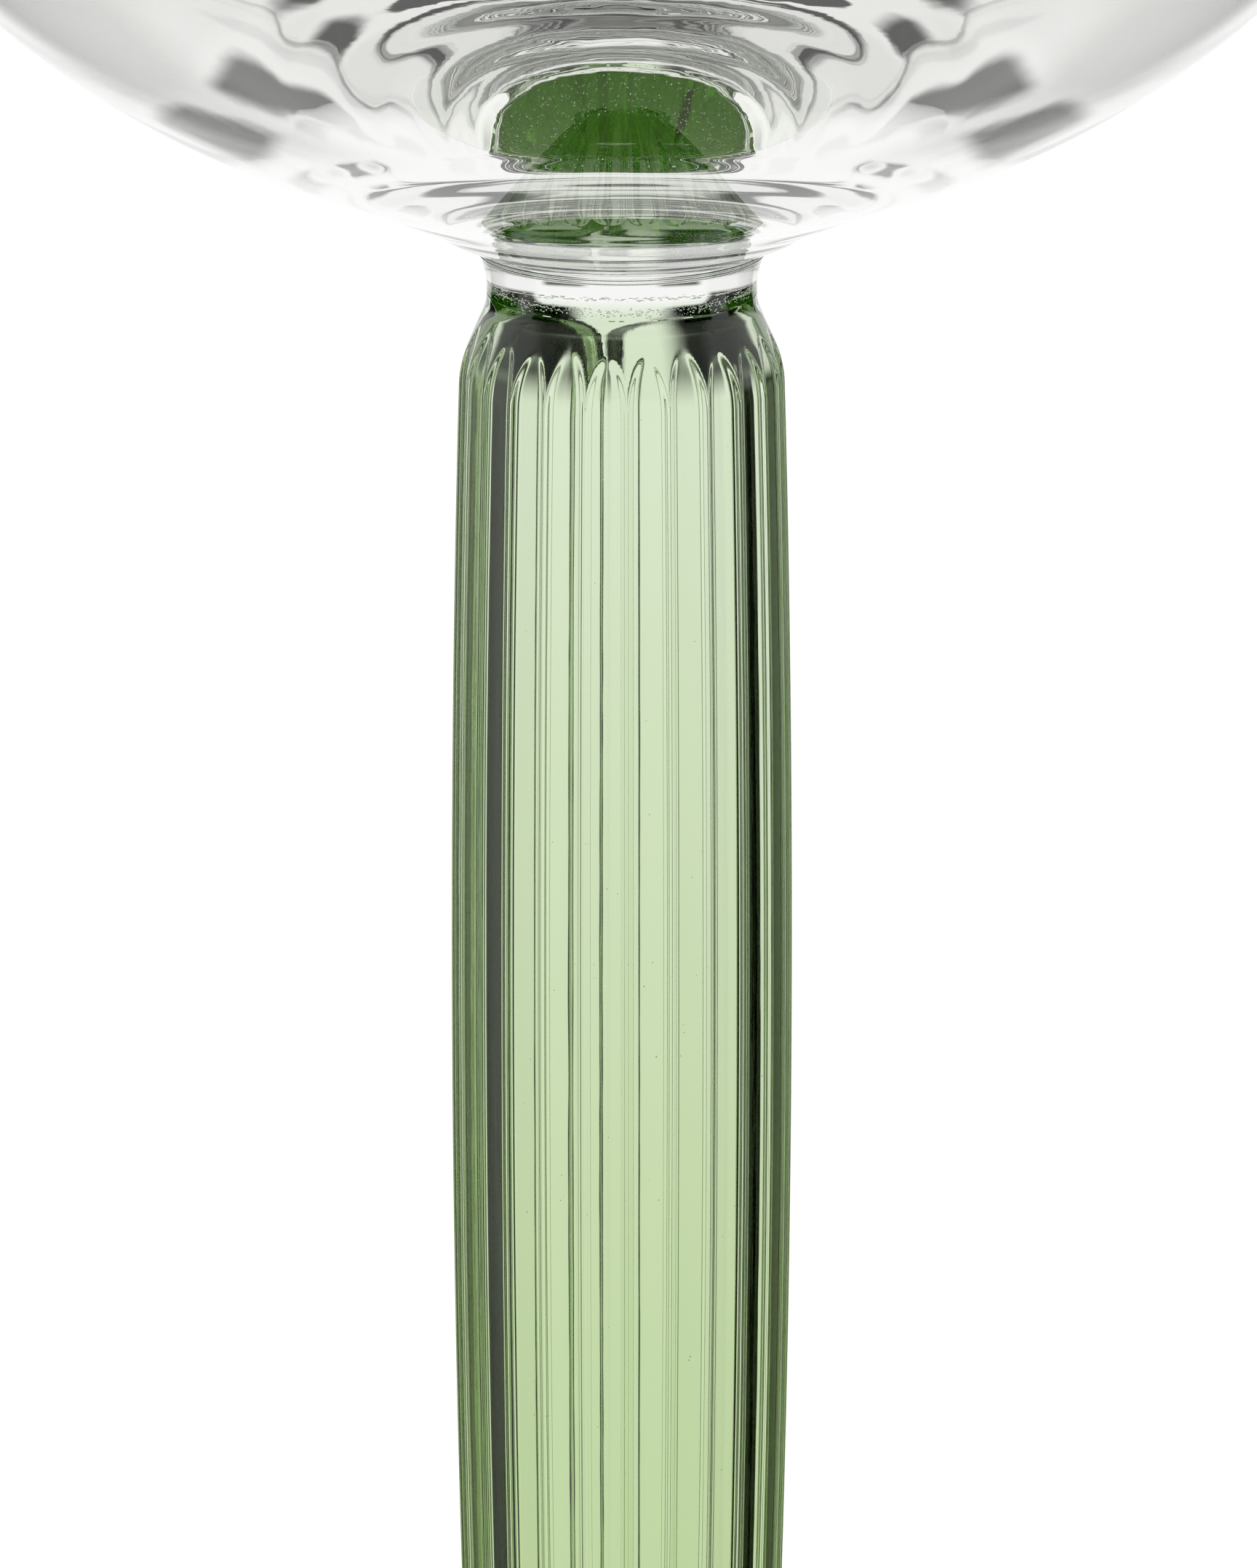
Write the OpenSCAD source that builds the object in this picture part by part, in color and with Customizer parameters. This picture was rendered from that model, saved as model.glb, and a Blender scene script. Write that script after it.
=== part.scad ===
// Stemmed wine glass: a clear blown bowl on a fluted green column stem and a green foot.
// The pieces are fused face to face at flat seams, one above the other on the Z axis.
// Z = 0 is the table, under the foot.

/* [Foot] */
// Diameter of the foot
foot_d = 76; // [60:1:96]
// Height of the foot where the collar stands on it
foot_h = 6.0; // [5:0.1:9]
// Thickness of the foot at its edge
foot_edge = 2.0; // [1.4:0.1:3]
// Width of the flat ring that the foot rests on
foot_land = 3.0; // [2:0.1:6]
// Height of the hollow under the foot
foot_kick = 1.4; // [0.6:0.1:2]

/* [Foot collar] */
// Height of the collar between the foot and the stem
foot_collar_h = 4.5; // [3:0.1:8]
// Extra radius that the collar spreads to where it meets the foot
foot_collar_flare = 3.2; // [1:0.1:6]

/* [Stem] */
// Length of the fluted column from seam to seam
stem_len = 88; // [70:1:120]
// Diameter of the column where it is thickest
stem_d = 16; // [13:0.1:22]
// Distance from the upper seam down to the thickest place
swell_drop = 32.7; // [25:0.1:45]
// Radius of the long arc that swells the column
swell_arc = 1050; // [900:10:3000]
// How far the neck is drawn in under the upper shoulder
neck_draw = 1.31; // [0.85:0.01:2.5]
// How far the ankle is drawn in under the lower shoulder
ankle_draw = 1.14; // [0.85:0.01:2.5]
// Radius of the hollow between a seam and the shoulder
shoulder_hollow = 2.4; // [1:0.1:3.5]
// Radius of the rounded shoulder
shoulder_round = 5.4; // [3:0.1:6.5]
// Steepest slope of the shoulder, from the axis
shoulder_slope = 24; // [20:1:30]

/* [Flutes] */
// Number of hollow flutes round the column
flute_count = 24; // [12:1:30]
// Depth of a flute under the ridges
flute_depth = 0.24; // [0.15:0.01:0.4]
// Width of the ridge left between two flutes
ridge_w = 0.3; // [0.2:0.05:0.6]
// Turn of the flutes about the axis
flute_turn = 2; // [-7.5:0.5:7.5]

/* [Neck collar] */
// Height of the clear collar between the stem and the bowl
neck_collar_h = 2.5; // [2:0.1:5]
// Radius of the hollow sweep of the clear collar
neck_sweep = 5.3; // [5.1:0.1:9]

/* [Bowl] */
// Height of the bowl from the collar to the rim
bowl_h = 99; // [80:1:120]
// Largest outside diameter of the bowl
bowl_d = 84; // [72:1:104]
// Height of the largest diameter above the collar
belly_h = 38.2; // [34:0.1:50]
// Outside diameter at the rim
rim_d = 67; // [60:1:74]
// Width of the step between the clear collar and the pad under the bowl
pad_step = 0.57; // [0.2:0.01:1.5]
// Diameter where the underside turns from flare to round
flare_d = 31.5; // [24:0.5:40]
// Height that the round underside would reach down to above the collar
round_lift = 0.9; // [0.5:0.1:2]
// Wall thickness at the belly
belly_wall = 2.8; // [2:0.1:4]
// Wall thickness at the rim
rim_wall = 1.5; // [1:0.1:2.5]
// Thickness of clear glass under the middle of the bowl's inside
base_glass = 7.2; // [5:0.1:14]
// How far the middle of the bowl's inside is drawn down below its round
cavity_draw = 1.4; // [0.4:0.1:2]
// Distance from the axis over which the inside is drawn down
draw_reach = 13.1; // [9:0.1:16]
// Shape of the inside's floor: 2 is an ellipse, less is more pointed
floor_power = 1.8; // [1.7:0.05:2.1]
// Shape of the inside's sides: 2 is an ellipse, less is slimmer
side_power = 1.9; // [1.8:0.05:2.1]

/* [Hidden] */
$fn = 96;
clear_glass = [0.86, 0.90, 0.88, 0.35];
green_glass = [0.42, 0.60, 0.30, 0.6];
over = 0.01;

foot_collar_z = foot_h;
stem_z = foot_collar_z + foot_collar_h;
neck_collar_z = stem_z + stem_len;
bowl_z = neck_collar_z + neck_collar_h;

stem_r = stem_d / 2;
swell_z = stem_len - swell_drop;
shoulder_rise = (shoulder_hollow + shoulder_round) * (1 - cos(shoulder_slope));
neck_r = swell_r(stem_len - shoulder_len(neck_draw)) - neck_draw;
ankle_r = swell_r(shoulder_len(ankle_draw)) - ankle_draw;
neck_top_r = neck_r + sweep_out(neck_collar_h);
pad_r = neck_top_r + pad_step;
pitch_w = 2 * stem_r * sin(180 / flute_count);
flute_half = (pitch_w - ridge_w) / 2;
flute_r = (flute_half * flute_half + flute_depth * flute_depth) / (2 * flute_depth);

// Points [radius, height] on an arc about centre c, from angle a0 to a1
function arc(c, r, a0, a1, n) =
    [for (i = [0:n]) let (a = a0 + (a1 - a0) * i / n) c + r * [cos(a), sin(a)]];

// Points on an ellipse about the axis at height z0, with half-width a and half-height b
function ellipse(z0, a, b, t0, t1, n) =
    [for (i = [0:n]) let (t = t0 + (t1 - t0) * i / n) [a * cos(t), z0 + b * sin(t)]];

function backwards(list) = [for (i = [len(list) - 1:-1:0]) list[i]];

// Half-height of an ellipse of half-width a that has narrowed to radius r at distance h
function half_height(a, r, h) = h / sqrt(1 - pow(r / a, 2));

// Radius of the swollen column at height z above its lower seam
function swell_r(z) = stem_r - swell_arc + sqrt(swell_arc * swell_arc - pow(z - swell_z, 2));

// How far the clear collar has spread at height z above its seam
function sweep_out(z) = neck_sweep - sqrt(neck_sweep * neck_sweep - z * z);

// Shoulder from a seam of radius r0 that is drawn in by draw: hollow, straight, round.
// The points run from the seam, with distances from the seam in place of heights.
function shoulder(r0, draw) =
    let (run = (draw - shoulder_rise) / sin(shoulder_slope),
         c0 = [r0 + shoulder_hollow, 0],
         bend = c0 - shoulder_hollow * [cos(shoulder_slope), -sin(shoulder_slope)],
         top = bend + run * [sin(shoulder_slope), cos(shoulder_slope)],
         c1 = top - shoulder_round * [cos(shoulder_slope), -sin(shoulder_slope)])
    concat(arc(c0, shoulder_hollow, 180, 180 - shoulder_slope, 2),
           [for (p = arc([0, 0], shoulder_round, -shoulder_slope, 0, 4)) c1 + p]);

// Length along the axis of a shoulder that draws the column in by draw
function shoulder_len(draw) =
    (shoulder_hollow + shoulder_round) * sin(shoulder_slope)
    + (draw - shoulder_rise) / tan(shoulder_slope);

module turned(points) {
    rotate_extrude() polygon(points);
}

module foot() {
    rest_r = foot_d / 2 - foot_edge / 2;
    kick_r = rest_r - foot_land;
    collar_r = ankle_r + foot_collar_flare;
    dome = pow(kick_r, 2) / (2 * foot_kick) + foot_kick / 2;
    kick_a = asin(kick_r / dome);
    edge = arc([rest_r, foot_edge / 2], foot_edge / 2, -90, 90, 8);
    // the top sweeps up from the edge to the collar in one hollow arc
    sweep = [for (i = [1:11]) let (t = i / 12)
        [rest_r + (collar_r - rest_r) * t, foot_edge + (foot_h - foot_edge) * pow(t, 2.2)]];
    under = arc([0, foot_kick - dome], dome, 90, 90 - kick_a, 10);
    color(green_glass) turned(concat(under, edge, sweep, [[collar_r, foot_h], [0, foot_h]]));
}

module foot_collar() {
    sweep = [for (i = [0:10]) let (a = 90 * i / 10)
        [ankle_r + foot_collar_flare * (1 - sin(a)), foot_collar_h * (1 - cos(a))]];
    color(green_glass) translate([0, 0, foot_collar_z])
        turned(concat([[0, 0]], sweep, [[0, foot_collar_h]]));
}

// One flute's cutter: a round bar bent to the column's swell, on the +X side
module flute_cutter() {
    bar_arc = swell_arc - flute_depth + flute_r;
    down = asin((swell_z + over) / bar_arc);
    up = asin((stem_len - swell_z + over) / bar_arc);
    translate([stem_r - swell_arc, 0, swell_z]) rotate([90, 0, 0])
        for (bend = [[-down, down / 2], [-down / 2, down / 2], [0, up]])
            rotate_extrude(start = bend[0], angle = bend[1], $fn = 720)
                translate([bar_arc, 0]) circle(r = flute_r, $fn = 96);
}

module column() {
    low = shoulder(ankle_r, ankle_draw);
    top = backwards([for (p = shoulder(neck_r, neck_draw)) [p[0], stem_len - p[1]]]);
    z0 = shoulder_len(ankle_draw);
    z1 = stem_len - shoulder_len(neck_draw);
    barrel = [for (i = [1:4]) let (z = z0 + (z1 - z0) * i / 5) [swell_r(z), z]];
    turned(concat([[0, 0]], low, barrel, top, [[0, stem_len]]));
}

module stem() {
    color(green_glass) translate([0, 0, stem_z]) difference() {
        column();
        for (i = [0:flute_count - 1])
            rotate(flute_turn - 90 + (i + 0.5) * 360 / flute_count) flute_cutter();
    }
}

module neck_collar() {
    sweep = [for (i = [0:8]) let (z = neck_collar_h * i / 8) [neck_r + sweep_out(z), z]];
    color(clear_glass) translate([0, 0, neck_collar_z])
        turned(concat([[0, 0]], sweep, [[0, neck_collar_h]]));
}

module bowl() {
    out_a = bowl_d / 2;
    in_a = out_a - belly_wall;
    low_b = belly_h - round_lift;
    up_h = bowl_h - belly_h;
    up_b = half_height(out_a, rim_d / 2, up_h);
    in_up_b = half_height(in_a, rim_d / 2 - rim_wall, up_h);
    in_low_b = belly_h - base_glass - cavity_draw;
    flare_w = flare_d / 2 - pad_r;
    flare_t = -acos(flare_d / 2 / out_a);
    flare_z = belly_h + low_b * sin(flare_t);
    flare_a = atan(-low_b * cos(flare_t) / (out_a * sin(flare_t)));
    pad_a = 2 * atan2(flare_z, flare_w) - flare_a;
    flare_arc = norm([flare_w, flare_z]) / (2 * sin((pad_a - flare_a) / 2));
    flare_c = [flare_d / 2, flare_z] + flare_arc * [sin(flare_a), -cos(flare_a)];
    flare = arc(flare_c, flare_arc, 90 + pad_a, 90 + flare_a, 6);
    round_out = ellipse(belly_h, out_a, low_b, flare_t, 0, 24);
    upper_out = ellipse(belly_h, out_a, up_b, 0, asin(up_h / up_b), 16);
    lip_c = [(rim_d - rim_wall) / 2, bowl_h];
    upper_in = ellipse(belly_h, in_a, in_up_b, asin(up_h / in_up_b), 0, 16);
    // from the belly down to the middle, the last point on the axis
    round_in = [for (i = [0:31]) let (t = 90 * i / 32, r = in_a * pow(cos(t), 2 / floor_power))
        [r, belly_h - in_low_b * pow(sin(t), 2 / side_power) - cavity_draw * exp(-pow(r / draw_reach, 2))]];
    lip = [for (a = [30:30:150]) lip_c + rim_wall / 2 * [cos(a), sin(a)] - [0, rim_wall / 2]];
    color(clear_glass) translate([0, 0, bowl_z])
        turned(concat([[0, 0]], flare, [for (i = [1:24]) round_out[i]],
                      [for (i = [1:15]) upper_out[i]], lip,
                      [for (i = [1:15]) upper_in[i]], round_in, [[0, base_glass]]));
}

foot();
foot_collar();
stem();
neck_collar();
bowl();
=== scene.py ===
import math

import bpy
import numpy as np
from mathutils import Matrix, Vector


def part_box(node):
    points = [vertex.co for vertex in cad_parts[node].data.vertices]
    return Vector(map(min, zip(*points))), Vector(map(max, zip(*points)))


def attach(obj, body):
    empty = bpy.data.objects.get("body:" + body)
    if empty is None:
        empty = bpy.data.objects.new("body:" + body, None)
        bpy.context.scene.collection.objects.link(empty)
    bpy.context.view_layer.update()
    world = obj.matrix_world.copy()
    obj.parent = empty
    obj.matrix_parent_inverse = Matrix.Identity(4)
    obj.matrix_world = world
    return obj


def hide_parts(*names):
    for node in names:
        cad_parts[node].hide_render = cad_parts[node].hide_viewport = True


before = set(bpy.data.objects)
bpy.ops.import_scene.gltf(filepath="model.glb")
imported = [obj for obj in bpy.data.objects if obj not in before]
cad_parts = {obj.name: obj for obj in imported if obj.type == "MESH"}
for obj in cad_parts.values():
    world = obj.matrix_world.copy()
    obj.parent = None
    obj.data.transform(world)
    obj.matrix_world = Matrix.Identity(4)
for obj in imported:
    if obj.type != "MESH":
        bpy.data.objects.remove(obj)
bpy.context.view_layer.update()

# shared by the pieces that meet there
seams = {
    "gap": 0.00002,          # clear space between two fused faces, so that light meets one and then the other
    "ankleRadius": 0.00562,
    "neckRadius": 0.00631,
    "bowlRadius": 0.00696,
    "steps": 6,              # rings of faces across a flat seam
    "flat": 0.000002,        # how near to the seam's height a face counts as part of it
    "sharpAngle": 35,
}


# points (radius, height) on an arc about a centre, angles in degrees
def arcPoints(centre, radius, start, end, steps):
    turns = [math.radians(start + (end - start) * i / steps) for i in range(steps + 1)]
    return [(centre[0] + radius * math.cos(t), centre[1] + radius * math.sin(t)) for t in turns]


# points on an ellipse about the axis, angles in degrees; powers other than 2 square it off or draw it in
def ellipsePoints(height, halfWidth, halfHeight, start, end, steps, widthPower=2.0, heightPower=2.0):
    points = []
    for i in range(steps + 1):
        t = math.radians(start + (end - start) * i / steps)
        c, d = math.cos(t), math.sin(t)
        points.append((halfWidth * max(c, 0.0) ** (2 / widthPower),
                       height + math.copysign(halfHeight * abs(d) ** (2 / heightPower), d)))
    return points


# points on a straight run, the first left out
def linePoints(start, end, steps):
    return [(start[0] + (end[0] - start[0]) * i / steps, start[1] + (end[1] - start[1]) * i / steps)
            for i in range(1, steps + 1)]


# a wall from seam to seam, closed to the axis by the two flat seams
def closedOutline(wall):
    low, high = (0, wall[0][1]), (0, wall[-1][1])
    return [low] + linePoints(low, wall[0], seams["steps"]) + wall[1:] + linePoints(wall[-1], high, seams["steps"])


# drops points that repeat the one before them
def tidied(points, least=1e-7):
    kept = [points[0]]
    for p in points[1:]:
        if math.dist(p, kept[-1]) > least:
            kept.append(p)
    return kept


# a closed solid turned from an outline that starts and ends on the axis
def turned(name, outline, sides, turn=0.0):
    outline = tidied(outline)
    ring = np.arange(sides) * 2 * math.pi / sides + turn
    inner = outline[1:-1]
    verts = [(0, 0, outline[0][1])]
    for r, z in inner:
        verts += list(zip(r * np.cos(ring), r * np.sin(ring), np.full(sides, z)))
    verts.append((0, 0, outline[-1][1]))
    last = len(verts) - 1
    faces = []
    for j in range(sides):
        k = (j + 1) % sides
        faces.append((0, 1 + k, 1 + j))
        for row in range(len(inner) - 1):
            low, high = 1 + row * sides, 1 + (row + 1) * sides
            faces.append((low + j, low + k, high + k, high + j))
        top = 1 + (len(inner) - 1) * sides
        faces.append((top + j, top + k, last))
    mesh = bpy.data.meshes.new(name)
    mesh.from_pydata([tuple(map(float, v)) for v in verts], [], faces)
    mesh.shade_smooth()
    piece = bpy.data.objects.new(name, mesh)
    bpy.context.scene.collection.objects.link(piece)
    return piece


# marks the flat faces where a piece is fused to its neighbour, at given heights and inside a radius
def markFused(mesh, heights, radius):
    attribute = mesh.attributes.new("fused", "FLOAT", "FACE")
    for face in mesh.polygons:
        x, y, z = face.center
        if math.hypot(x, y) < radius and any(abs(z - height) < seams["flat"] for height in heights):
            attribute.data[face.index].value = 1.0


# the last steps for every piece of the glass
def finishPiece(piece, node, fusedHeights, fusedRadius=1.0):
    markFused(piece.data, fusedHeights, fusedRadius)
    piece.data.set_sharp_from_angle(angle=math.radians(seams["sharpAngle"]))
    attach(piece, "root")
    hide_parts(node)


# a shader socket that can be used in sums
class Value:
    def __init__(self, board, socket):
        self.board, self.socket = board, socket

    def maths(self, operation, first, second):
        return self.board.node("ShaderNodeMath", {"operation": operation}, [first, second])

    def __add__(self, other):
        return self.maths("ADD", self, other)

    def __radd__(self, other):
        return self.maths("ADD", other, self)

    def __sub__(self, other):
        return self.maths("SUBTRACT", self, other)

    def __rsub__(self, other):
        return self.maths("SUBTRACT", other, self)

    def __mul__(self, other):
        return self.maths("MULTIPLY", self, other)

    def __rmul__(self, other):
        return self.maths("MULTIPLY", other, self)


# a shader's node tree, of a material or of the world
class Board:
    def __init__(self, owner):
        owner.use_nodes = True
        self.owner = owner
        self.tree = owner.node_tree
        self.tree.nodes.clear()

    def node(self, kind, settings=None, values=None, output=0):
        made = self.tree.nodes.new(kind)
        for key, setting in (settings or {}).items():
            if key == "stops":
                self.fillRamp(made.color_ramp, setting)
            else:
                setattr(made, key, setting)
        pairs = values.items() if isinstance(values, dict) else enumerate(values or [])
        for key, value in pairs:
            if isinstance(value, Value):
                self.tree.links.new(value.socket, made.inputs[key])
            elif value is not None:
                made.inputs[key].default_value = value
        return Value(self, made.outputs[output])

    def fillRamp(self, ramp, stops):
        while len(ramp.elements) < len(stops):
            ramp.elements.new(0.5)
        for element, (position, colour) in zip(ramp.elements, stops):
            element.position, element.color = position, colour

    # the three numbers of a vector
    def split(self, vector):
        made = self.tree.nodes.new("ShaderNodeSeparateXYZ")
        self.tree.links.new(vector.socket, made.inputs[0])
        return [Value(self, number) for number in made.outputs]

    def finish(self, kind, surface, volume=None):
        out = self.tree.nodes.new(kind)
        self.tree.links.new(surface.socket, out.inputs["Surface"])
        if volume:
            self.tree.links.new(volume.socket, out.inputs["Volume"])
        return self.owner


# ripple: how deep the surface waves, streak: its fine share, drawn long by streakScale;
# absorb and density: what the glass takes from light along the way
glassLook = {
    "ior": 1.52,
    "rippleScale": 220.0,
    "clear": {
        "ripple": 0.000005,
        "streak": 0.15,
        "streakScale": (60, 60, 900),
        "tint": (0.995, 0.994, 0.988, 1),
        "absorb": (0.78, 0.80, 0.74, 1),
        "density": 6.0,
    },
    "green": {
        "ripple": 0.000006,
        "streak": 0.35,
        "streakScale": (1500, 1500, 60),
        # painted shade: the green deepens toward the foot, standing in for light that passes up through the green
        # foot; heights between which it changes, and the colours on the way
        "paintedShadeHeights": (0.012, 0.092),
        "paintedShadeColours": [(0.0, (0.66, 0.77, 0.46, 1)), (0.45, (0.80, 0.87, 0.67, 1)), (1.0, (1.0, 1.0, 1.0, 1))],
        "absorb": (0.36, 0.62, 0.07, 1),
        "density": 38.0,
    },
}


# polished glass: light passes unbent through the faces where pieces are fused
def glass(name, look):
    board = Board(bpy.data.materials.new(name))
    place = board.node("ShaderNodeTexCoord", output="Object")
    ripple = board.node("ShaderNodeTexNoise", {}, {
        "Vector": place, "Scale": glassLook["rippleScale"], "Detail": 2.0, "Roughness": 0.45})
    drawn = board.node("ShaderNodeMapping", {}, {"Vector": place, "Scale": look["streakScale"]})
    streak = board.node("ShaderNodeTexNoise", {}, {
        "Vector": drawn, "Scale": 1.0, "Detail": 3.0, "Roughness": 0.6})
    bump = board.node("ShaderNodeBump", {}, {
        "Strength": 1.0, "Distance": look["ripple"], "Height": ripple + streak * look["streak"]})
    # painted shade: where the look has it, the base colour deepens toward the foot by height
    if "paintedShadeColours" in look:
        low, high = look["paintedShadeHeights"]
        height = board.node("ShaderNodeMapRange", {}, {
            "Value": board.split(place)[2], "From Min": low, "From Max": high})
        colour = board.node("ShaderNodeValToRGB", {"stops": look["paintedShadeColours"]}, [height])
    else:
        colour = look["tint"]
    surface = board.node("ShaderNodeBsdfPrincipled", {}, {
        "Base Color": colour, "Roughness": 0.0, "IOR": glassLook["ior"],
        "Transmission Weight": 1.0, "Normal": bump})
    fused = board.node("ShaderNodeAttribute", {"attribute_name": "fused"}, output="Fac")
    through = board.node("ShaderNodeBsdfTransparent", {}, {"Color": (1, 1, 1, 1)})
    mixed = board.node("ShaderNodeMixShader", {}, [fused, surface, through])
    volume = board.node("ShaderNodeVolumeAbsorption", {}, {
        "Color": look["absorb"], "Density": look["density"]})
    return board.finish("ShaderNodeOutputMaterial", mixed, volume)


clearGlass = glass("clear glass", glassLook["clear"])
greenGlass = glass("green glass", glassLook["green"])
print("materials made")


# an empty Geometry Nodes rule with named number inputs and a material
def newRule(name, inputs):
    tree = bpy.data.node_groups.new(name, "GeometryNodeTree")
    face = tree.interface
    face.new_socket("Geometry", in_out="INPUT", socket_type="NodeSocketGeometry")
    face.new_socket("Geometry", in_out="OUTPUT", socket_type="NodeSocketGeometry")
    for item in inputs:
        face.new_socket(item, in_out="INPUT", socket_type="NodeSocketFloat")
    face.new_socket("Material", in_out="INPUT", socket_type="NodeSocketMaterial")
    return tree, tree.nodes.new("NodeGroupInput"), tree.nodes.new("NodeGroupOutput")


# runs a rule on a piece and keeps the mesh that comes out
def applyRule(piece, tree, sizes, material):
    modifier = piece.modifiers.new(tree.name, "NODES")
    modifier.node_group = tree
    ids = {item.name: item.identifier for item in tree.interface.items_tree if item.in_out == "INPUT"}
    for name, value in sizes.items():
        modifier[ids[name]] = float(value)
    modifier[ids["Material"]] = material
    seen = bpy.context.evaluated_depsgraph_get()
    made = bpy.data.meshes.new_from_object(piece.evaluated_get(seen))
    piece.modifiers.remove(modifier)
    made.name = piece.name
    piece.data = made


# Geometry Nodes: scatters seeds (tiny bubbles, so their faces look inward) through a ring of glass
def seedTree():
    tree, source, sink = newRule("seeds in the glass", [
        "Count", "Low", "High", "Inner Radius", "Outer Radius", "Least", "Most", "Seed"])
    nodes, links = tree.nodes, tree.links
    given = source.outputs

    # a number between two others for each seed; the offset keeps one set of draws apart from the next
    def drawn(low, high, offset):
        node = nodes.new("FunctionNodeRandomValue")
        node.data_type = "FLOAT"
        for key, value in ((2, low), (3, high)):
            if isinstance(value, bpy.types.NodeSocket):
                links.new(value, node.inputs[key])
            else:
                node.inputs[key].default_value = value
        seed = nodes.new("ShaderNodeMath")
        seed.inputs[1].default_value = offset
        links.new(given["Seed"], seed.inputs[0])
        links.new(seed.outputs[0], node.inputs["Seed"])
        return node.outputs[1]

    spot = nodes.new("ShaderNodeCombineXYZ")
    links.new(drawn(given["Inner Radius"], given["Outer Radius"], 1), spot.inputs[0])
    links.new(drawn(given["Low"], given["High"], 2), spot.inputs[2])
    about = nodes.new("ShaderNodeVectorRotate")
    about.rotation_type = "Z_AXIS"
    links.new(spot.outputs[0], about.inputs["Vector"])
    links.new(drawn(0.0, 2 * math.pi, 3), about.inputs["Angle"])
    points = nodes.new("GeometryNodePoints")
    links.new(given["Count"], points.inputs["Count"])
    links.new(about.outputs[0], points.inputs["Position"])
    bubble = nodes.new("GeometryNodeMeshIcoSphere")
    bubble.inputs["Subdivisions"].default_value = 2
    inward = nodes.new("GeometryNodeFlipFaces")
    links.new(bubble.outputs[0], inward.inputs[0])
    smooth = nodes.new("GeometryNodeSetShadeSmooth")
    links.new(inward.outputs[0], smooth.inputs[0])
    place = nodes.new("GeometryNodeInstanceOnPoints")
    links.new(points.outputs[0], place.inputs["Points"])
    links.new(smooth.outputs[0], place.inputs["Instance"])
    links.new(drawn(given["Least"], given["Most"], 4), place.inputs["Scale"])
    real = nodes.new("GeometryNodeRealizeInstances")
    links.new(place.outputs[0], real.inputs[0])
    join = nodes.new("GeometryNodeJoinGeometry")
    links.new(real.outputs[0], join.inputs[0])
    links.new(given["Geometry"], join.inputs[0])
    paint = nodes.new("GeometryNodeSetMaterial")
    links.new(join.outputs[0], paint.inputs["Geometry"])
    links.new(given["Material"], paint.inputs["Material"])
    links.new(paint.outputs[0], sink.inputs[0])
    return tree


seedRule = seedTree()


bowlSizes = {
    "rimRadius": 0.0335,
    "bellyHeight": 0.0382,     # above the bowl's lowest face
    "roundLift": 0.0009,
    "flareRadius": 0.01577,
    "padRadius": 0.00753,
    "bellyWall": 0.0028,
    "rimWall": 0.0015,
    "baseGlass": 0.00717,
    "cavityFloorPower": 1.8,
    "cavitySidePower": 1.9,
    "cavityDraw": 0.00142,     # how far the middle of the inside is drawn down
    "drawReach": 0.01314,
    "rings": [(0.0086, 0.00006, 0.0004), (0.0098, -0.00003, 0.0005), (0.0112, 0.000028, 0.0006),
              (0.0127, -0.000028, 0.0007), (0.0143, 0.000025, 0.0008)],
    "padSteps": 2,
    "flareSteps": 60,
    "roundSteps": 110,
    "wallSteps": 32,
    "rimSteps": 12,
    "innerSteps": 28,
    "cavitySteps": 128,
    "sides": 256,
}


# tool marks: low rings (radius, how far they stand out, width) round the flare
def ringed(points, rings):
    marked = []
    for r, z in points:
        proud = sum(height * math.exp(-((r - at) / wide) ** 2) for at, height, wide in rings)
        marked.append((r, z - proud))
    return marked


def makeBowl(s):
    low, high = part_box("bowl")
    outA = high.x
    z0, z1 = low.z, high.z
    belly = z0 + s["bellyHeight"]
    inA = outA - s["bellyWall"]
    lowB = s["bellyHeight"] - s["roundLift"]
    upH = z1 - belly
    upB = upH / math.sqrt(1 - (s["rimRadius"] / outA) ** 2)
    inRim = s["rimRadius"] - s["rimWall"]
    inUpB = upH / math.sqrt(1 - (inRim / inA) ** 2)
    inLowB = s["bellyHeight"] - s["baseGlass"] - s["cavityDraw"]
    flareT = -math.acos(s["flareRadius"] / outA)
    flareZ = belly + lowB * math.sin(flareT)
    flareSlope = math.atan(-lowB * math.cos(flareT) / (outA * math.sin(flareT)))
    width = s["flareRadius"] - s["padRadius"]
    padSlope = 2 * math.atan2(flareZ - z0, width) - flareSlope
    arcR = math.hypot(width, flareZ - z0) / (2 * math.sin((padSlope - flareSlope) / 2))
    centre = (s["flareRadius"] + arcR * math.sin(flareSlope), flareZ - arcR * math.cos(flareSlope))
    lipR = s["rimWall"] / 2
    seamR = seams["bowlRadius"]
    outline = [(0, z0)] + linePoints((0, z0), (seamR, z0), seams["steps"])
    outline += linePoints((seamR, z0), (s["padRadius"], z0), s["padSteps"])
    under = arcPoints(centre, arcR, 90 + math.degrees(padSlope), 90 + math.degrees(flareSlope), s["flareSteps"])
    under += ellipsePoints(belly, outA, lowB, math.degrees(flareT), 0, s["roundSteps"])
    outline += ringed(under, s["rings"])
    topT = math.degrees(math.asin((upH - lipR) / upB))
    outline += ellipsePoints(belly, outA, upB, 0, topT, s["wallSteps"])
    outline += arcPoints((s["rimRadius"] - lipR, z1 - lipR), lipR, 10, 170, s["rimSteps"])
    inTopT = math.degrees(math.asin((upH - lipR) / inUpB))
    outline += ellipsePoints(belly, inA, inUpB, inTopT, 0, s["innerSteps"])
    cavity = ellipsePoints(belly, inA, inLowB, 0, -90, s["cavitySteps"],
                           s["cavityFloorPower"], s["cavitySidePower"])
    outline += [(r, z - s["cavityDraw"] * math.exp(-(r / s["drawReach"]) ** 2)) for r, z in cavity]
    outline[-1] = (0, z0 + s["baseGlass"])
    bowl = turned("bowl-blown", outline, s["sides"])
    bowl.data.materials.append(clearGlass)
    finishPiece(bowl, "bowl", [z0], seamR)


makeBowl(bowlSizes)
print("bowl made")


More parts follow.
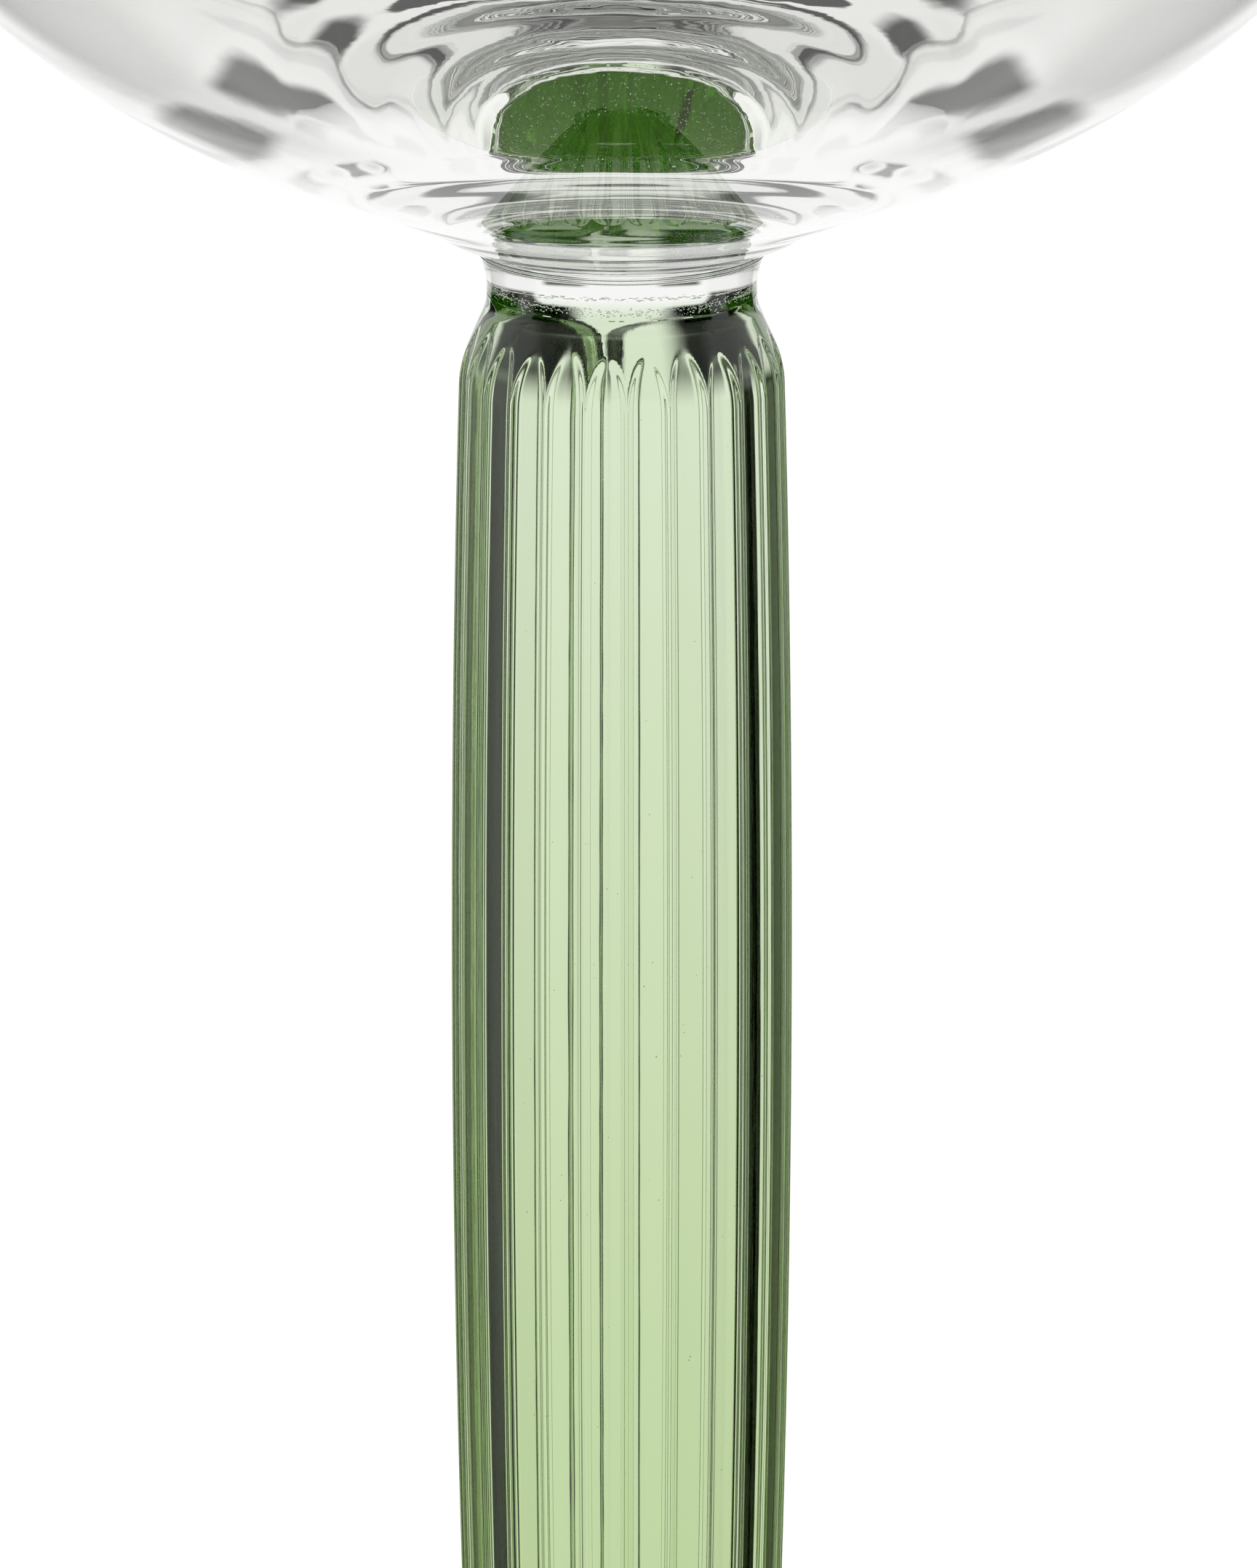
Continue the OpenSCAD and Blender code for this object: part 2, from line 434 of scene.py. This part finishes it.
neckSizes = {
    "sweepRadius": 0.0053,
    "rings": [(0.00186, 0.00005), (0.00205, 0.00006)],   # height above the seam, how far it stands out
    "ringWidth": 0.00006,
    # the row of seeds caught in the seam
    "seeds": {"Count": 1100, "Inner Radius": 0.0035, "Outer Radius": 0.00624,
              "Least": 0.000015, "Most": 0.000045, "Seed": 11},
    "seedRow": (0.00005, 0.00032),                       # heights above the seam
    "steps": 120,
    "sides": 192,
}


def makeNeckCollar(s):
    low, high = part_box("neck_collar")
    z0, z1 = low.z + seams["gap"], high.z - seams["gap"]
    wall = []
    for i in range(s["steps"] + 1):
        h = (z1 - z0) * i / s["steps"]
        r = seams["neckRadius"] + s["sweepRadius"] - math.sqrt(s["sweepRadius"] ** 2 - h * h)
        for ringHeight, proud in s["rings"]:
            r += proud * math.exp(-((h - ringHeight) / s["ringWidth"]) ** 2)
        wall.append((r, z0 + h))
    neck = turned("neck-collar-clear", closedOutline(wall), s["sides"])
    row = {"Low": z0 + s["seedRow"][0], "High": z0 + s["seedRow"][1]}
    applyRule(neck, seedRule, s["seeds"] | row, clearGlass)
    finishPiece(neck, "neck_collar", [z0, z1])


makeNeckCollar(neckSizes)
print("clear collar made")


stemSizes = {
    "radius": 0.008,
    "swellDrop": 0.0327,
    "swellArc": 1.05,
    "hollow": 0.0024,
    "round": 0.0054,
    "slope": 24,
    "neckDraw": 0.00131,
    "ankleDraw": 0.00114,
    "turn": math.radians(2.0 - 90.0),
    "hollowSteps": 14,
    "slopeSteps": 8,
    "roundSteps": 16,
    "barrelSteps": 50,
    "sides": 648,
    "seeds": {"Count": 90, "Inner Radius": 0.0005, "Outer Radius": 0.0064,
              "Least": 0.000012, "Most": 0.00004, "Seed": 3},
    "seedMargin": 0.006,       # kept free of seeds at both ends
}

fluteSizes = {
    "Flute Count": 24,
    "Depth": 0.00017,
    "Ridge Width": 0.0002,
    "Hollow": 0.00006,
    "Turn": stemSizes["turn"],
    "Top Arch": 0.0015,
    "Low Arch": 0.0015,
    "Uneven": 0.00022,         # how far an arch may start high or low
    "Run Out": 0.0026,
    "Core": 0.0055,            # points nearer the axis stay where they are
}


# points of a shoulder, from its seam, with distances from the seam as heights
def shoulderPoints(s, seamRadius, draw):
    slope = math.radians(s["slope"])
    rise = (s["hollow"] + s["round"]) * (1 - math.cos(slope))
    run = (draw - rise) / math.sin(slope)
    c0 = (seamRadius + s["hollow"], 0)
    first = arcPoints(c0, s["hollow"], 180, 180 - s["slope"], s["hollowSteps"])
    bend = first[-1]
    end = (bend[0] + run * math.sin(slope), bend[1] + run * math.cos(slope))
    c1 = (end[0] - s["round"] * math.cos(slope), end[1] + s["round"] * math.sin(slope))
    second = arcPoints(c1, s["round"], -s["slope"], 0, s["roundSteps"])
    return first + linePoints(bend, end, s["slopeSteps"]) + second[1:]


# Geometry Nodes: presses hollow flutes into a turned column
def fluteTree():
    tree, source, sink = newRule("pressed flutes", [
        "Depth", "Ridge Width", "Hollow", "Turn", "Top Arch", "Low Arch", "Uneven", "Run Out", "Core",
        "Low Seam", "Top Seam", "Flute Count"])
    nodes, links = tree.nodes, tree.links

    def feed(node, key, value):
        if isinstance(value, bpy.types.NodeSocket):
            links.new(value, node.inputs[key])
        else:
            node.inputs[key].default_value = value

    def maths(operation, *values):
        node = nodes.new("ShaderNodeMath")
        node.operation = operation
        for i, value in enumerate(values):
            feed(node, i, value)
        return node.outputs[0]

    given = source.outputs
    position = nodes.new("GeometryNodeInputPosition")
    parts = nodes.new("ShaderNodeSeparateXYZ")
    links.new(position.outputs[0], parts.inputs[0])
    x, y, z = parts.outputs
    radius = maths("SQRT", maths("ADD", maths("MULTIPLY", x, x), maths("MULTIPLY", y, y)))
    angle = maths("SUBTRACT", maths("ARCTAN2", y, x), given["Turn"])
    pitch = maths("DIVIDE", 2 * math.pi, given["Flute Count"])
    turns = maths("DIVIDE", angle, pitch)
    positive = maths("ADD", turns, 1000.0)
    share = maths("SUBTRACT", maths("FRACT", positive), 0.5)
    number = maths("FLOOR", positive)
    across = maths("MULTIPLY", maths("MULTIPLY", share, pitch), radius)
    chance = nodes.new("FunctionNodeRandomValue")
    chance.data_type = "FLOAT"
    feed(chance, "ID", number)
    chance.inputs["Seed"].default_value = 7
    feed(chance, 2, maths("MULTIPLY", given["Uneven"], -1.0))
    feed(chance, 3, given["Uneven"])
    late = chance.outputs[1]
    fromTop = maths("SUBTRACT", maths("SUBTRACT", given["Top Seam"], z), maths("ADD", given["Top Arch"], late))
    fromLow = maths("SUBTRACT", maths("SUBTRACT", z, given["Low Seam"]), maths("ADD", given["Low Arch"], late))
    nearer = maths("MINIMUM", fromTop, fromLow)
    ramp = nodes.new("ShaderNodeClamp")
    feed(ramp, 0, maths("DIVIDE", nearer, given["Run Out"]))
    ramp.inputs[1].default_value = 0.0
    ramp.inputs[2].default_value = 1.0
    grown = ramp.outputs[0]
    # rises steeply from the arch, then levels off
    level = maths("SUBTRACT", 1.0, maths("POWER", maths("SUBTRACT", 1.0, grown), 2.0))
    half = maths("MULTIPLY", maths("MULTIPLY", pitch, radius), 0.5)
    # the arch closes in on the middle of the flute as it runs out
    side = maths("MULTIPLY", half, maths("SQRT", level))
    edge = maths("DIVIDE", maths("MAXIMUM", maths("SUBTRACT", side, maths("ABSOLUTE", across)), 0.0),
                 given["Ridge Width"])
    floor = maths("SUBTRACT", 1.0, maths("EXPONENT", maths("MULTIPLY", maths("MULTIPLY", edge, edge), -1.0)))
    along = maths("DIVIDE", across, maths("MAXIMUM", side, 0.00001))
    hollow = maths("MAXIMUM", maths("SUBTRACT", 1.0, maths("MULTIPLY", along, along)), 0.0)
    cut = maths("ADD", maths("MULTIPLY", maths("MULTIPLY", given["Depth"], floor), level),
                maths("MULTIPLY", maths("MULTIPLY", given["Hollow"], hollow), level))
    onWall = maths("GREATER_THAN", radius, given["Core"])
    scale = maths("SUBTRACT", 1.0, maths("DIVIDE", cut, maths("MAXIMUM", radius, 0.001)))
    moved = nodes.new("ShaderNodeCombineXYZ")
    links.new(maths("MULTIPLY", x, scale), moved.inputs[0])
    links.new(maths("MULTIPLY", y, scale), moved.inputs[1])
    links.new(z, moved.inputs[2])
    press = nodes.new("GeometryNodeSetPosition")
    links.new(given["Geometry"], press.inputs["Geometry"])
    links.new(onWall, press.inputs["Selection"])
    links.new(moved.outputs[0], press.inputs["Position"])
    real = nodes.new("GeometryNodeRealizeInstances")
    links.new(press.outputs[0], real.inputs[0])
    paint = nodes.new("GeometryNodeSetMaterial")
    links.new(real.outputs[0], paint.inputs["Geometry"])
    links.new(given["Material"], paint.inputs["Material"])
    links.new(paint.outputs[0], sink.inputs[0])
    return tree


def makeStem(s):
    low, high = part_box("stem")
    z0, z1 = low.z + seams["gap"], high.z - seams["gap"]
    swellZ = high.z - s["swellDrop"]
    lowEnd = [(r, z0 + h) for r, h in shoulderPoints(s, seams["ankleRadius"], s["ankleDraw"])]
    topEnd = [(r, z1 - h) for r, h in shoulderPoints(s, seams["neckRadius"], s["neckDraw"])][::-1]
    barrel = []
    for i in range(1, s["barrelSteps"]):
        z = lowEnd[-1][1] + (topEnd[0][1] - lowEnd[-1][1]) * i / s["barrelSteps"]
        barrel.append((s["radius"] - s["swellArc"] + math.sqrt(s["swellArc"] ** 2 - (z - swellZ) ** 2), z))
    stem = turned("stem-fluted", closedOutline(lowEnd + barrel + topEnd), s["sides"], s["turn"])
    applyRule(stem, fluteTree(), fluteSizes | {"Low Seam": z0, "Top Seam": z1}, greenGlass)
    spread = {"Low": z0 + s["seedMargin"], "High": z1 - s["seedMargin"]}
    applyRule(stem, seedRule, s["seeds"] | spread, greenGlass)
    finishPiece(stem, "stem", [z0, z1])


makeStem(stemSizes)
print("stem made")


footSizes = {
    "edge": 0.002,
    "land": 0.003,
    "kick": 0.0014,
    "flare": 0.0032,
    "fall": 2.2,               # how late the top rises toward the collar
    "domeSteps": 30,
    "landSteps": 3,
    "edgeSteps": 16,
    "topSteps": 60,
    "collarSteps": 40,
    "sides": 256,
}


def makeFoot(s):
    low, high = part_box("foot")
    lowC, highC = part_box("foot_collar")
    footR = high.x
    half = s["edge"] / 2
    restR = footR - half
    kickR = restR - s["land"]
    dome = kickR ** 2 / (2 * s["kick"]) + s["kick"] / 2
    kickA = math.degrees(math.asin(kickR / dome))
    ankleR = seams["ankleRadius"]
    collarR = ankleR + s["flare"]
    edgeZ, topZ = low.z + s["edge"], high.z - seams["gap"]
    under = arcPoints((0, low.z + s["kick"] - dome), dome, 90, 90 - kickA, s["domeSteps"])
    under[0] = (0, low.z + s["kick"])
    edge = linePoints(under[-1], (restR, low.z), s["landSteps"])
    edge += arcPoints((restR, low.z + half), half, -90, 90, s["edgeSteps"])[1:]
    top = []
    for i in range(1, s["topSteps"] + 1):
        t = i / s["topSteps"]
        top.append((restR + (collarR - restR) * t, edgeZ + (topZ - edgeZ) * t ** s["fall"]))
    outline = under + edge + top + linePoints(top[-1], (0, topZ), seams["steps"])
    foot = turned("foot-domed", outline, s["sides"])
    foot.data.materials.append(greenGlass)
    finishPiece(foot, "foot", [topZ])

    z0, z1 = lowC.z, highC.z
    wall = []
    for i in range(s["collarSteps"] + 1):
        a = math.radians(90 * i / s["collarSteps"])
        wall.append((ankleR + s["flare"] * (1 - math.sin(a)), z0 + (z1 - z0) * (1 - math.cos(a))))
    collar = turned("foot-collar-green", closedOutline(wall), s["sides"])
    collar.data.materials.append(greenGlass)
    finishPiece(collar, "foot_collar", [z0, z1])


makeFoot(footSizes)
print("foot made")


viewSizes = {
    "elevation": 14.6,
    "distance": 1.0,
    "aim": (0.00031, 0, 0.0747),
    "frameHeight": 0.0736,     # what the frame takes in at the aim
    "sensor": 36,
}


def makeCamera(s):
    data = bpy.data.cameras.new("camera")
    data.sensor_fit = "VERTICAL"
    data.sensor_height = s["sensor"]
    data.sensor_width = s["sensor"]
    data.lens = s["sensor"] * s["distance"] / s["frameHeight"]
    data.clip_start, data.clip_end = 0.01, 50
    camera = bpy.data.objects.new("camera", data)
    bpy.context.scene.collection.objects.link(camera)
    tilt = math.radians(s["elevation"])
    camera.location = Vector(s["aim"]) + Vector((0, -math.cos(tilt), math.sin(tilt))) * s["distance"]
    camera.rotation_euler = (math.radians(90) - tilt, 0, 0)
    bpy.context.scene.camera = camera


floorSizes = {
    "half": 6,
    "drop": 0.0002,            # below the resting ring
    "glow": 1.0,
    "diffuse": 0.1,
}


# a plain pale floor; the glass itself sees the room below it instead
def makeFloor(s):
    board = Board(bpy.data.materials.new("pale floor"))
    glow = board.node("ShaderNodeEmission", {}, {"Color": (1, 1, 1, 1), "Strength": s["glow"]})
    paint = board.node("ShaderNodeBsdfDiffuse", {}, {"Color": (s["diffuse"], s["diffuse"], s["diffuse"], 1)})
    both = board.node("ShaderNodeAddShader", {}, [glow, paint])
    half = s["half"]
    mesh = bpy.data.meshes.new("floor")
    mesh.from_pydata([(-half, -half, 0), (half, -half, 0), (half, half, 0), (-half, half, 0)], [], [(0, 1, 2, 3)])
    mesh.materials.append(board.finish("ShaderNodeOutputMaterial", both))
    floor = bpy.data.objects.new("floor", mesh)
    bpy.context.scene.collection.objects.link(floor)
    floor.location.z = -s["drop"]
    floor.visible_transmission = False
    floor.visible_glossy = False


studioLight = {
    "fill": 0.28,              # all round, where there is no panel
    # azimuth from +Y (on both sides, unless 0), half width, elevation, half height, softness, strength,
    # and the glass surfaces past which the panel is not felt, 0 for no end
    "panels": [
        (0, 105, 10, 70, 16, 0.92, 0),        # the wide wall
        (0, 181, 90, 9, 4, 0.02, 0),          # the dark ceiling
        (0, 28, -24, 60, 6, 1.0, 0),          # the bright middle
        (180, 46, -14, 18, 5, 0.92, 0),       # the wall opposite
        (36, 20, -36, 14, 9, 0.0, 0),         # dark strips, low down
        (0, 50, 38, 5, 5, 0.1, 0),            # above
        (18, 7, 10, 5, 4, 0.12, 0),           # by the middle
        (54, 24, -14, 10, 4, 0.0, 3.5),       # and at the sides
        (112, 14, -14, 10, 4, 0.0, 3.5),
    ],
}


# the room that the glass sees: soft panels in front of an even fill
def makeRoom(s):
    world = bpy.data.worlds.new("studio")
    bpy.context.scene.world = world
    board = Board(world)
    x, y, z = board.split(board.node("ShaderNodeTexCoord", output="Generated"))
    azimuth = board.node("ShaderNodeMath", {"operation": "ARCTAN2"}, [x, y]) * (180 / math.pi)
    height = board.node("ShaderNodeMath", {"operation": "ARCSINE"}, [z]) * (180 / math.pi)

    def band(value, centre, half, soft):
        away = board.node("ShaderNodeMath", {"operation": "ABSOLUTE"}, [value - centre])
        return board.node("ShaderNodeMapRange", {"interpolation_type": "SMOOTHSTEP"}, {
            "Value": away, "From Min": half - soft / 2, "From Max": half + soft / 2,
            "To Min": 1.0, "To Max": 0.0})

    crossed = board.node("ShaderNodeLightPath", output="Transmission Depth")
    light = s["fill"]
    for side, half, level, tall, soft, strength, most in s["panels"]:
        for turn in [side, -side] if side else [side]:
            mask = band(azimuth, turn, half, soft) * band(height, level, tall, soft)
            if most:
                mask = mask * board.node("ShaderNodeMath", {"operation": "LESS_THAN"}, [crossed, most])
            light = light * (1 - mask) + strength * mask
    felt = board.node("ShaderNodeBackground", {}, {"Color": (1, 1, 1, 1), "Strength": light})
    seen = board.node("ShaderNodeBackground", {}, {"Color": (1, 1, 1, 1), "Strength": 1.0})
    direct = board.node("ShaderNodeLightPath", output="Is Camera Ray")
    board.finish("ShaderNodeOutputWorld", board.node("ShaderNodeMixShader", {}, [direct, felt, seen]))


# light turns many times inside thick glass, so each kind of turn is allowed often
def allowLongPaths(turns):
    scene = bpy.context.scene
    scene.cycles.max_bounces = turns
    scene.cycles.glossy_bounces = turns
    scene.cycles.transmission_bounces = turns
    scene.cycles.transparent_max_bounces = turns
    scene.cycles.caustics_reflective = True
    scene.cycles.caustics_refractive = True
    scene.view_settings.view_transform = "Standard"


makeCamera(viewSizes)
makeFloor(floorSizes)
makeRoom(studioLight)
allowLongPaths(48)
print("studio made")
